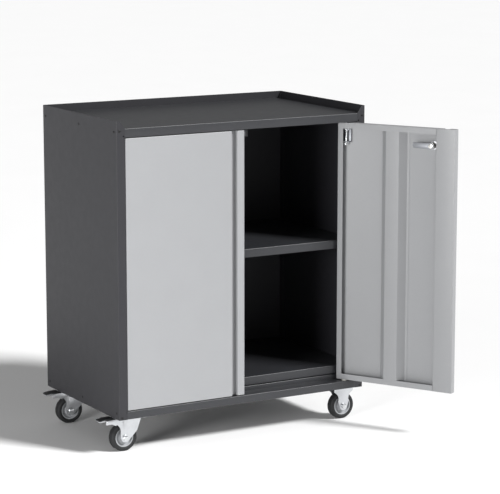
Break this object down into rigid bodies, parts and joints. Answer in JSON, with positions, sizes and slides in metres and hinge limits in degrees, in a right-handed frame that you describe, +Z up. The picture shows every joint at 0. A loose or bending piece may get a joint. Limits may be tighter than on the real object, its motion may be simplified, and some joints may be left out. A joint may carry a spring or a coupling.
{
  "type": "mobile tool cabinet",
  "caption": "Steel tool cabinet on castors with hinged doors, a rimmed worktop, inner shelves and a cam lock.",
  "frame": {"origin": "on the floor under the centre of the box that the cabinet fills with its right door open and its brake pedals pointing left", "axes": "+Z up, -Y out of the doors, +X towards the rigid castors (right when facing the doors)"},
  "size_m": [0.968, 0.762, 0.94],
  "materials": {
    "side_paint": "satin powder coat, fine texture",
    "body_paint": "satin powder coat, fine texture",
    "door_paint": "satin powder coat, fine texture",
    "zinc": "bright zinc plate",
    "black_screw": "black oxide",
    "nylon": "natural nylon",
    "black_plastic": "moulded, fine grain",
    "magnet": "ground",
    "hub_plastic": "moulded polypropylene",
    "tyre": "moulded rubber"
  },
  "bodies": {
    "cabinet": {"side_panel_left": "side_paint", "side_panel_right": "side_paint", "back_panel": "side_paint", "worktop": "body_paint", "worktop_brace": "body_paint", "base_rail": "body_paint", "base_deck": "body_paint", "castor_channel_left": "body_paint", "castor_channel_right": "body_paint", "bottom_shelf": "body_paint", "middle_shelf": "body_paint", "shelf_brackets": "body_paint", "panel_screws": "black_screw", "pivot_bushes": "nylon", "catch_housing": "black_plastic", "catch_magnets": "magnet", "castor_bolts": "zinc", "castor_nuts": "zinc", "front_swivel_plate": "zinc", "rear_swivel_plate": "zinc", "kingpins": "zinc", "front_rigid_bracket": "zinc", "rear_rigid_bracket": "zinc", "rigid_axles": "zinc"},
    "left_door": {"left_door_skin": "door_paint", "left_door_stiffener": "door_paint", "left_door_edge_channel": "door_paint", "left_hinge_bracket": "zinc", "left_hinge_spring": "zinc", "left_pivot_pin": "zinc", "left_bolt_guide": "zinc"},
    "left_hinge_bolt": {"left_hinge_bolt": "zinc"},
    "left_slide_bolt": {"left_slide_bolt": "zinc"},
    "right_door": {"right_door_skin": "door_paint", "right_door_stiffener": "door_paint", "right_door_edge_channel": "door_paint", "right_hinge_bracket": "zinc", "right_hinge_spring": "zinc", "right_pivot_pin": "zinc", "lock_barrel": "zinc", "lock_nut": "zinc"},
    "right_hinge_bolt": {"right_hinge_bolt": "zinc"},
    "lock": {"lock_plug": "zinc", "lock_cam": "zinc"},
    "front_swivel": {"front_swivel_fork": "zinc", "front_swivel_axle": "zinc"},
    "front_brake": {"front_brake_pedal": "zinc", "front_pedal_tread": "black_plastic"},
    "front_swivel_wheel": {"front_swivel_hub": "hub_plastic", "front_swivel_tyre": "tyre"},
    "front_rigid_wheel": {"front_rigid_hub": "hub_plastic", "front_rigid_tyre": "tyre"},
    "rear_swivel": {"rear_swivel_fork": "zinc", "rear_swivel_axle": "zinc"},
    "rear_brake": {"rear_brake_pedal": "zinc", "rear_pedal_tread": "black_plastic"},
    "rear_swivel_wheel": {"rear_swivel_hub": "hub_plastic", "rear_swivel_tyre": "tyre"},
    "rear_rigid_wheel": {"rear_rigid_hub": "hub_plastic", "rear_rigid_tyre": "tyre"}
  },
  "joints": [
    {"name": "left_door_hinge", "type": "hinge", "parent": "cabinet", "child": "left_door", "pos_m": [-0.39749, -0.07799, 0.506], "axis": [0, 0, 1], "range_deg": [-120, 0]},
    {"name": "right_door_hinge", "type": "hinge", "parent": "cabinet", "child": "right_door", "pos_m": [0.29751, -0.07799, 0.506], "axis": [0, 0, 1], "range_deg": [-120, 0]},
    {"name": "left_hinge_bolt_slide", "type": "slide", "parent": "left_door", "child": "left_hinge_bolt", "axis": [0, 0, 1], "range_m": [-0.013, 0], "stiffness_N_per_m": 250, "springref_m": 0.012, "deforming": ["left_hinge_spring"]},
    {"name": "right_hinge_bolt_slide", "type": "slide", "parent": "right_door", "child": "right_hinge_bolt", "axis": [0, 0, 1], "range_m": [-0.013, 0], "stiffness_N_per_m": 250, "springref_m": 0.012, "deforming": ["right_hinge_spring"]},
    {"name": "left_slide_bolt_slide", "type": "slide", "parent": "left_door", "child": "left_slide_bolt", "axis": [0, 0, 1], "range_m": [0, 0.013]},
    {"name": "lock_turn", "type": "hinge", "parent": "right_door", "child": "lock", "pos_m": [0.44675, -0.30649, 0.841], "axis": [0.866, 0.5, 0], "range_deg": [0, 90]},
    {"name": "front_swivel_turn", "type": "hinge", "parent": "cabinet", "child": "front_swivel", "pos_m": [-0.378, -0.02499, 0.086], "axis": [0, 0, 1], "continuous": true},
    {"name": "front_swivel_wheel_roll", "type": "hinge", "parent": "front_swivel", "child": "front_swivel_wheel", "pos_m": [-0.40699, -0.02499, 0.04], "axis": [0, 1, 0], "continuous": true},
    {"name": "front_brake_press", "type": "hinge", "parent": "front_swivel", "child": "front_brake", "pos_m": [-0.412, -0.02499, 0.085], "axis": [0, -1, 0], "range_deg": [0, 9]},
    {"name": "front_rigid_wheel_roll", "type": "hinge", "parent": "cabinet", "child": "front_rigid_wheel", "pos_m": [0.317, -0.02499, 0.04], "axis": [0, 1, 0], "continuous": true},
    {"name": "rear_swivel_turn", "type": "hinge", "parent": "cabinet", "child": "rear_swivel", "pos_m": [-0.378, 0.33, 0.086], "axis": [0, 0, 1], "continuous": true},
    {"name": "rear_swivel_wheel_roll", "type": "hinge", "parent": "rear_swivel", "child": "rear_swivel_wheel", "pos_m": [-0.40699, 0.33, 0.04], "axis": [0, 1, 0], "continuous": true},
    {"name": "rear_brake_press", "type": "hinge", "parent": "rear_swivel", "child": "rear_brake", "pos_m": [-0.412, 0.33, 0.085], "axis": [0, -1, 0], "range_deg": [0, 9]},
    {"name": "rear_rigid_wheel_roll", "type": "hinge", "parent": "cabinet", "child": "rear_rigid_wheel", "pos_m": [0.317, 0.33, 0.04], "axis": [0, 1, 0], "continuous": true}
  ]
}
